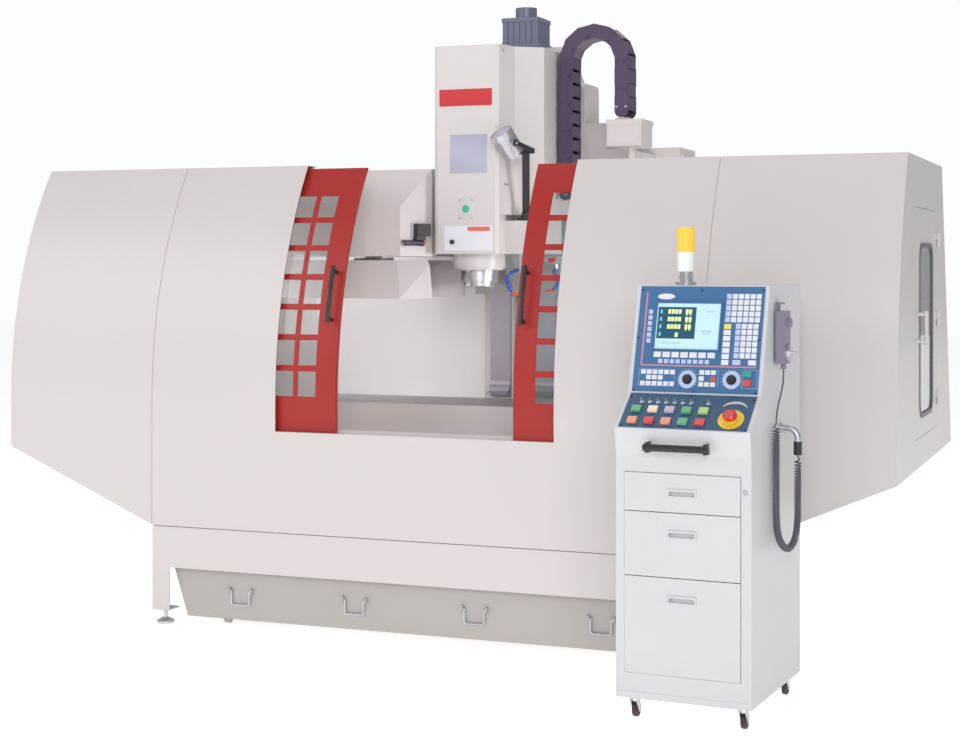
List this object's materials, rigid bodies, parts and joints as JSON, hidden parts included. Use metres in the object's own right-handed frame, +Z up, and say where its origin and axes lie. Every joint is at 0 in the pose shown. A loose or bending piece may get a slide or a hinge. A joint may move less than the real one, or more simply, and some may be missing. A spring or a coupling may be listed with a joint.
{
  "type": "cnc milling machine",
  "caption": "Bed-type milling machine in a curved enclosure with sliding doors, tool magazine, chip tank and a standing control console.",
  "frame": {"origin": "on the floor, at the centre of the bed's four anchor holes", "axes": "+X to the operator's right, +Y away from the operator, +Z up"},
  "size_m": [3.874, 2.8145, 2.738],
  "materials": {
    "body_paint": "satin, fine texture",
    "inner_paint": "satin",
    "bed_casting": "painted casting",
    "table_iron": "painted sides, ground top",
    "ground_steel": "ground",
    "cover_steel": "rolled sheet",
    "motor_paint": "semi-gloss",
    "chain_plastic": "moulded",
    "black_metal": "satin",
    "lamp_metal": "turned and finned",
    "hose_plastic": "moulded",
    "tank_paint": "satin",
    "handle_steel": "zinc plated",
    "door_red": "textured powder coat",
    "window_glass": "clear",
    "console_paint": "satin",
    "panel_foil": "printed foil",
    "black_plastic": "moulded",
    "stop_red": "moulded",
    "light_plastic": "fluted lens",
    "dial_metal": "turned",
    "cord_rubber": "matt sheath",
    "zinc": "zinc plated",
    "wheel_rubber": "matt"
  },
  "bodies": {
    "root": {"machine_bed": "bed_casting", "column": "body_paint", "levelling_feet": "zinc", "base_frame": "body_paint", "front_panel": "body_paint", "left_wing": "body_paint", "right_wing": "body_paint", "rear_panels": "inner_paint", "axis_motors": "motor_paint", "service_boxes": "body_paint", "changer_housing": "body_paint", "way_covers": "cover_steel", "cable_chain": "chain_plastic", "console_cabinet": "console_paint", "console_panels": "panel_foil", "stack_light": "light_plastic", "pendant": "black_plastic", "pendant_cord": "cord_rubber"},
    "saddle": {"saddle": "bed_casting"},
    "table": {"table": "table_iron", "table_motor": "motor_paint"},
    "x_screw": {"x_ball_screw": "ground_steel"},
    "y_screw": {"y_ball_screw": "ground_steel"},
    "z_screw": {"z_ball_screw": "ground_steel"},
    "head": {"head_casting": "bed_casting", "head_cover": "body_paint", "spindle_motor": "motor_paint", "spindle_housing": "body_paint", "coolant_hoses": "hose_plastic"},
    "spindle": {"spindle": "ground_steel"},
    "lamp_arm": {"lamp_arm": "black_metal"},
    "work_lamp": {"work_lamp": "lamp_metal"},
    "changer": {"magazine_shroud": "body_paint"},
    "tool_disc": {"tool_disc": "ground_steel"},
    "tank": {"chip_tank": "tank_paint"},
    "left_door": {"left_door": "door_red", "left_door_glass": "window_glass"},
    "right_door": {"right_door": "door_red", "right_door_glass": "window_glass"},
    "side_door": {"side_door": "body_paint", "side_window": "window_glass"},
    "drawer_top": {"drawer_top": "console_paint"},
    "drawer_middle": {"drawer_middle": "console_paint"},
    "drawer_bottom": {"drawer_bottom": "console_paint"},
    "feed_dial": {"feed_dial": "black_plastic"},
    "spindle_dial": {"spindle_dial": "black_plastic"},
    "emergency_stop": {"emergency_stop": "stop_red"},
    "pendant_dial": {"pendant_dial": "dial_metal"},
    "tank_handle_1": {"tank_handle_1": "handle_steel"},
    "caster_fork_1": {"caster_fork_1": "zinc"},
    "caster_wheel_1": {"caster_wheel_1": "wheel_rubber"},
    "tank_handle_2": {"tank_handle_2": "handle_steel"},
    "caster_fork_2": {"caster_fork_2": "zinc"},
    "caster_wheel_2": {"caster_wheel_2": "wheel_rubber"},
    "tank_handle_3": {"tank_handle_3": "handle_steel"},
    "caster_fork_3": {"caster_fork_3": "zinc"},
    "caster_wheel_3": {"caster_wheel_3": "wheel_rubber"},
    "tank_handle_4": {"tank_handle_4": "handle_steel"},
    "caster_fork_4": {"caster_fork_4": "zinc"},
    "caster_wheel_4": {"caster_wheel_4": "wheel_rubber"}
  },
  "joints": [
    {"name": "saddle_feed", "type": "slide", "parent": "root", "child": "saddle", "axis": [0, 1, 0], "range_m": [-0.2, 0.2]},
    {"name": "table_feed", "type": "slide", "parent": "saddle", "child": "table", "axis": [1, 0, 0], "range_m": [-0.65, 0.65]},
    {"name": "head_feed", "type": "slide", "parent": "root", "child": "head", "axis": [0, 0, 1], "range_m": [-0.42, 0], "deforming": ["way_covers", "cable_chain"]},
    {"name": "y_screw_turn", "type": "hinge", "parent": "root", "child": "y_screw", "pos_m": [0, -0.3, 0.5], "axis": [0, 1, 0], "range_deg": [-7300, 7300]},
    {"name": "x_screw_turn", "type": "hinge", "parent": "table", "child": "x_screw", "pos_m": [0, -0.43, 0.735], "axis": [1, 0, 0], "range_deg": [-23500, 23500]},
    {"name": "z_screw_turn", "type": "hinge", "parent": "root", "child": "z_screw", "pos_m": [0, 0.175, 1.5], "axis": [0, 0, 1], "range_deg": [-15200, 15200]},
    {"name": "spindle_turn", "type": "hinge", "parent": "head", "child": "spindle", "pos_m": [0, -0.43, 1.5], "axis": [0, 0, 1], "continuous": true},
    {"name": "lamp_swing", "type": "hinge", "parent": "head", "child": "lamp_arm", "pos_m": [0.24, -0.495, 1.79], "axis": [0, 0, 1], "range_deg": [0, 45]},
    {"name": "lamp_tilt", "type": "hinge", "parent": "lamp_arm", "child": "work_lamp", "pos_m": [0.212, -0.65, 2.04], "axis": [0.8064, -0.5913, 0], "range_deg": [-30, 40]},
    {"name": "changer_feed", "type": "slide", "parent": "root", "child": "changer", "axis": [1, 0, 0], "range_m": [0, 0.285]},
    {"name": "disc_index", "type": "hinge", "parent": "changer", "child": "tool_disc", "pos_m": [-0.515, -0.43, 1.41], "axis": [0, 0, 1], "continuous": true},
    {"name": "left_door_slide", "type": "slide", "parent": "root", "child": "left_door", "axis": [1, 0, 0], "range_m": [-0.17, 0.3445]},
    {"name": "right_door_slide", "type": "slide", "parent": "root", "child": "right_door", "axis": [-1, 0, 0], "range_m": [-0.12, 0.4305]},
    {"name": "side_door_hinge", "type": "hinge", "parent": "root", "child": "side_door", "pos_m": [1.924, -0.019, 1.3], "axis": [0, 0, 1], "range_deg": [0, 110]},
    {"name": "tank_slide", "type": "slide", "parent": "root", "child": "tank", "axis": [0, -1, 0], "range_m": [0, 0.4]},
    {"name": "tank_handle_1_swing", "type": "hinge", "parent": "tank", "child": "tank_handle_1", "pos_m": [-0.789, -1.168, 0.158], "axis": [-1, 0, 0], "range_deg": [0, 90]},
    {"name": "tank_handle_2_swing", "type": "hinge", "parent": "tank", "child": "tank_handle_2", "pos_m": [-0.263, -1.168, 0.158], "axis": [-1, 0, 0], "range_deg": [0, 90]},
    {"name": "tank_handle_3_swing", "type": "hinge", "parent": "tank", "child": "tank_handle_3", "pos_m": [0.263, -1.168, 0.158], "axis": [-1, 0, 0], "range_deg": [0, 90]},
    {"name": "tank_handle_4_swing", "type": "hinge", "parent": "tank", "child": "tank_handle_4", "pos_m": [0.789, -1.168, 0.158], "axis": [-1, 0, 0], "range_deg": [0, 90]},
    {"name": "drawer_top_slide", "type": "slide", "parent": "root", "child": "drawer_top", "axis": [-0.0645, -0.9979, 0], "range_m": [0, 0.4]},
    {"name": "drawer_middle_slide", "type": "slide", "parent": "root", "child": "drawer_middle", "axis": [-0.0645, -0.9979, 0], "range_m": [0, 0.4]},
    {"name": "drawer_bottom_slide", "type": "slide", "parent": "root", "child": "drawer_bottom", "axis": [-0.0645, -0.9979, 0], "range_m": [0, 0.4]},
    {"name": "feed_dial_turn", "type": "hinge", "parent": "root", "child": "feed_dial", "pos_m": [1.31475, -1.87592, 1.14148], "axis": [-0.0621, -0.9604, 0.2716], "range_deg": [-140, 140]},
    {"name": "spindle_dial_turn", "type": "hinge", "parent": "root", "child": "spindle_dial", "pos_m": [1.46846, -1.88532, 1.1434], "axis": [-0.0621, -0.9604, 0.2716], "range_deg": [-140, 140]},
    {"name": "emergency_stop_press", "type": "slide", "parent": "root", "child": "emergency_stop", "axis": [0.0409, 0.6325, -0.7734], "range_m": [0, 0.005], "stiffness_N_per_m": 2000, "springref_m": -0.005},
    {"name": "pendant_dial_turn", "type": "hinge", "parent": "root", "child": "pendant_dial", "pos_m": [1.62373, -1.7203, 1.228], "axis": [0.9979, -0.0645, 0], "continuous": true},
    {"name": "caster_1_swivel", "type": "hinge", "parent": "root", "child": "caster_fork_1", "pos_m": [1.14778, -1.93203, 0.075], "axis": [0, 0, 1], "continuous": true},
    {"name": "caster_1_roll", "type": "hinge", "parent": "caster_fork_1", "child": "caster_wheel_1", "pos_m": [1.14894, -1.91407, 0.025], "axis": [0.9979, -0.0645, 0], "continuous": true},
    {"name": "caster_2_swivel", "type": "hinge", "parent": "root", "child": "caster_fork_2", "pos_m": [1.52499, -1.95642, 0.075], "axis": [0, 0, 1], "continuous": true},
    {"name": "caster_2_roll", "type": "hinge", "parent": "caster_fork_2", "child": "caster_wheel_2", "pos_m": [1.52615, -1.93846, 0.025], "axis": [0.9979, -0.0645, 0], "continuous": true},
    {"name": "caster_3_swivel", "type": "hinge", "parent": "root", "child": "caster_fork_3", "pos_m": [1.1805, -1.42609, 0.075], "axis": [0, 0, 1], "continuous": true},
    {"name": "caster_3_roll", "type": "hinge", "parent": "caster_fork_3", "child": "caster_wheel_3", "pos_m": [1.18166, -1.40812, 0.025], "axis": [0.9979, -0.0645, 0], "continuous": true},
    {"name": "caster_4_swivel", "type": "hinge", "parent": "root", "child": "caster_fork_4", "pos_m": [1.55771, -1.45048, 0.075], "axis": [0, 0, 1], "continuous": true},
    {"name": "caster_4_roll", "type": "hinge", "parent": "caster_fork_4", "child": "caster_wheel_4", "pos_m": [1.55887, -1.43252, 0.025], "axis": [0.9979, -0.0645, 0], "continuous": true}
  ],
  "couplings": [
    {"joint": "y_screw_turn", "follows": "saddle_feed", "rad_per_m": 628.32},
    {"joint": "x_screw_turn", "follows": "table_feed", "rad_per_m": 628.32},
    {"joint": "z_screw_turn", "follows": "head_feed", "rad_per_m": 628.32}
  ]
}
